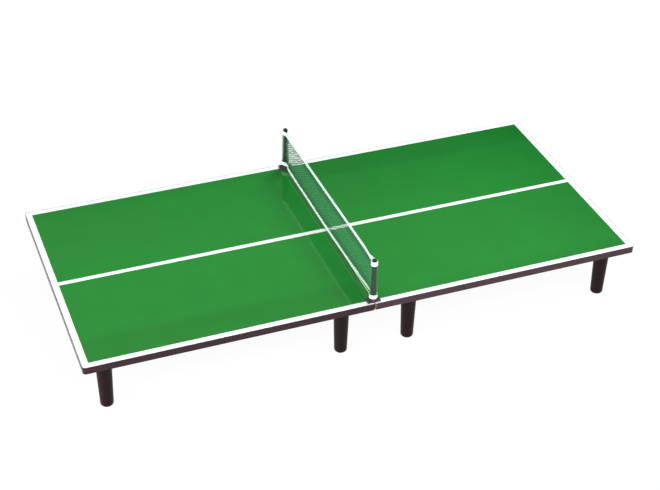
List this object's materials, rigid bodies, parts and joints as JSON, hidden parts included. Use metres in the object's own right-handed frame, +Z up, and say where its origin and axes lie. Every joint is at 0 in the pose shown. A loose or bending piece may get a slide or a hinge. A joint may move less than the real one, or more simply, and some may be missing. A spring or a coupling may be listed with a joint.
{
  "type": "tabletop table tennis table",
  "caption": "Low tabletop table tennis table: glossy green half boards with white lines on short plug-in legs, hinged under the seam, with a net looped over its posts.",
  "frame": {"origin": "on the floor under the middle of the table, at the centre of the bounding box's bottom", "axes": "+X along the table to its right half, +Y across it from the near edge to the far edge, +Z up"},
  "size_m": [0.88, 0.41, 0.164],
  "materials": {
    "fibreboard": "raw medium-density fibreboard at the seam ends, dark brown backing paper underneath",
    "edge_band": "satin dark purple-brown edge strip",
    "playing_film": "glossy green printed film with faint mottling",
    "court_lines": "glossy white print",
    "leg_plastic": "satin dark brown moulded plastic",
    "boss_plastic": "satin black-brown moulded plastic",
    "hinge_steel": "rolled zinc-plated sheet",
    "pin_steel": "drawn steel",
    "screw_steel": "bright zinc plate",
    "post_plastic": "semi-gloss dark brown moulded plastic",
    "net_cord": "green knitted nylon netting",
    "net_tape": "white woven tape, folded and stitched"
  },
  "bodies": {
    "table_left": {"panel_left": "fibreboard", "edge_band_left": "edge_band", "playing_film_left": "playing_film", "court_lines_left": "court_lines", "leg_boss_left_outer_near": "boss_plastic", "leg_boss_left_outer_far": "boss_plastic", "leg_boss_left_inner_near": "boss_plastic", "leg_boss_left_inner_far": "boss_plastic", "leg_screws_left": "screw_steel", "hinge_screws_left": "screw_steel", "hinge_near_leaf_left": "hinge_steel", "hinge_far_leaf_left": "hinge_steel", "hinge_near_pin": "pin_steel", "hinge_far_pin": "pin_steel"},
    "table_right": {"panel_right": "fibreboard", "edge_band_right": "edge_band", "playing_film_right": "playing_film", "court_lines_right": "court_lines", "leg_boss_right_outer_near": "boss_plastic", "leg_boss_right_outer_far": "boss_plastic", "leg_boss_right_inner_near": "boss_plastic", "leg_boss_right_inner_far": "boss_plastic", "leg_screws_right": "screw_steel", "hinge_screws_right": "screw_steel", "hinge_near_leaf_right": "hinge_steel", "hinge_far_leaf_right": "hinge_steel"},
    "leg_left_outer_near": {"leg_left_outer_near": "leg_plastic"},
    "leg_left_outer_far": {"leg_left_outer_far": "leg_plastic"},
    "leg_left_inner_near": {"leg_left_inner_near": "leg_plastic"},
    "leg_left_inner_far": {"leg_left_inner_far": "leg_plastic"},
    "leg_right_outer_near": {"leg_right_outer_near": "leg_plastic"},
    "leg_right_outer_far": {"leg_right_outer_far": "leg_plastic"},
    "leg_right_inner_near": {"leg_right_inner_near": "leg_plastic"},
    "leg_right_inner_far": {"leg_right_inner_far": "leg_plastic"},
    "net_posts": {"net_foot_near": "post_plastic", "net_foot_far": "post_plastic", "net_post_near": "post_plastic", "net_post_far": "post_plastic"},
    "net": {"net_mesh": "net_cord", "net_top_tape": "net_tape", "net_bottom_tape": "net_tape"}
  },
  "joints": [
    {"name": "fold", "type": "hinge", "parent": "table_left", "child": "table_right", "pos_m": [0, 0, 0.07365], "axis": [0, 1, 0], "range_deg": [0, 50]},
    {"name": "pull_leg_left_outer_near", "type": "slide", "parent": "table_left", "child": "leg_left_outer_near", "axis": [0, 0, -1], "range_m": [0, 0.018]},
    {"name": "pull_leg_left_outer_far", "type": "slide", "parent": "table_left", "child": "leg_left_outer_far", "axis": [0, 0, -1], "range_m": [0, 0.018]},
    {"name": "pull_leg_left_inner_near", "type": "slide", "parent": "table_left", "child": "leg_left_inner_near", "axis": [0, 0, -1], "range_m": [0, 0.018]},
    {"name": "pull_leg_left_inner_far", "type": "slide", "parent": "table_left", "child": "leg_left_inner_far", "axis": [0, 0, -1], "range_m": [0, 0.018]},
    {"name": "pull_leg_right_outer_near", "type": "slide", "parent": "table_right", "child": "leg_right_outer_near", "axis": [0, 0, -1], "range_m": [0, 0.018]},
    {"name": "pull_leg_right_outer_far", "type": "slide", "parent": "table_right", "child": "leg_right_outer_far", "axis": [0, 0, -1], "range_m": [0, 0.018]},
    {"name": "pull_leg_right_inner_near", "type": "slide", "parent": "table_right", "child": "leg_right_inner_near", "axis": [0, 0, -1], "range_m": [0, 0.018]},
    {"name": "pull_leg_right_inner_far", "type": "slide", "parent": "table_right", "child": "leg_right_inner_far", "axis": [0, 0, -1], "range_m": [0, 0.018]},
    {"name": "net_lift", "type": "slide", "parent": "table_left", "child": "net_posts", "axis": [0, 0, 1], "range_m": [0, 0.015]},
    {"name": "net_slip", "type": "slide", "parent": "net_posts", "child": "net", "axis": [0, 0, 1], "range_m": [0, 0.075]}
  ]
}
